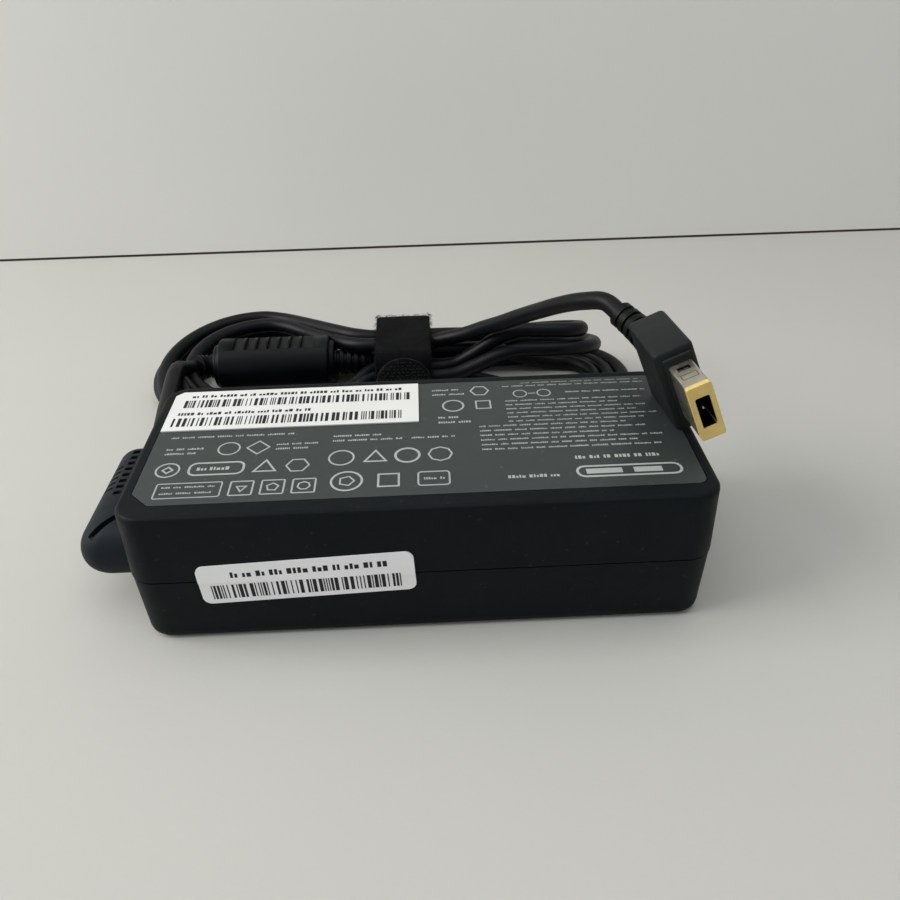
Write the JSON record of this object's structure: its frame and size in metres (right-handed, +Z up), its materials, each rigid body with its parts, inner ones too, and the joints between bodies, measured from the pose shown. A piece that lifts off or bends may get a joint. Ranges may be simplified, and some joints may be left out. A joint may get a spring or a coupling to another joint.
{
  "type": "laptop power adapter",
  "caption": "Two-shell mains power brick with a cloverleaf inlet, moulded cord outlet, ferrite, strapped cord hank and a slim rectangular plug.",
  "frame": {"origin": "middle of the brick's underside, on the standing surface", "axes": "+X along the brick towards the mains inlet, +Y towards the hank of cord, +Z up"},
  "size_m": [0.1347, 0.1248, 0.0492],
  "materials": {
    "housing": "fine matt grain",
    "label": "smooth satin film",
    "sticker": "coated paper",
    "inlet": "moulded",
    "pin_metal": "nickel plated",
    "board": "solder mask",
    "capacitor_can": "sleeved",
    "component_black": "moulded",
    "component_white": "moulded",
    "sink_metal": "bare",
    "ferrite_ceramic": "sintered",
    "bobbin": "tape",
    "film_capacitor": "moulded",
    "winding": "enamelled",
    "ceramic_blue": "dipped",
    "film": "film",
    "wire_red": "insulated",
    "wire_black": "insulated",
    "wire_white": "insulated",
    "moulded_relief": "matt moulding",
    "cord_jacket": "satin jacket",
    "cord_moulding": "satin moulding",
    "strap_loop": "looped pile",
    "strap_hook": "hooks",
    "plug_plastic": "fine grain",
    "plug_metal": "plated",
    "plug_yellow": "moulded"
  },
  "bodies": {
    "adapter": {"upper_shell": "housing", "lower_shell": "housing", "rating_label": "label", "label_sticker": "sticker", "side_sticker": "sticker", "inlet_housing": "inlet", "line_pin": "pin_metal", "neutral_pin": "pin_metal", "earth_pin": "pin_metal", "circuit_board": "board", "output_capacitor_a": "capacitor_can", "output_capacitor_b": "capacitor_can", "output_rectifier": "component_black", "secondary_heat_sink": "sink_metal", "transformer_core": "ferrite_ceramic", "transformer_bobbin": "bobbin", "bulk_capacitor": "capacitor_can", "primary_heat_sink": "sink_metal", "switching_transistor": "component_black", "bridge_rectifier": "component_black", "filter_capacitor": "film_capacitor", "choke_core": "ferrite_ceramic", "choke_winding": "winding", "fuse": "component_black", "safety_capacitor": "ceramic_blue", "optocoupler": "component_white", "heat_spreader": "sink_metal", "insulation_film": "film", "positive_wire": "wire_red", "return_wire": "wire_black", "sense_wire": "wire_white", "cord_strain_relief": "moulded_relief", "cord_lead": "cord_jacket", "cord_through_ferrite": "cord_jacket", "cord_hank": "cord_jacket", "cord_tail": "cord_jacket", "ferrite_housing": "cord_moulding", "ferrite_core": "ferrite_ceramic", "ferrite_boot_elbow": "cord_moulding", "ferrite_boot_straight": "cord_moulding", "strap_band": "strap_loop", "plug_body": "plug_plastic", "plug_shield": "plug_metal", "plug_insulator": "plug_yellow", "plug_latch": "plug_metal", "plug_centre_pin": "plug_metal", "plug_boot": "cord_moulding"},
    "hook_tab": {"strap_tab": "strap_hook"}
  },
  "joints": [
    {"name": "tab_peel", "type": "hinge", "parent": "adapter", "child": "hook_tab", "pos_m": [-0.0041, 0.057, 0.0016], "axis": [1, 0, 0], "range_deg": [0, 90]}
  ]
}
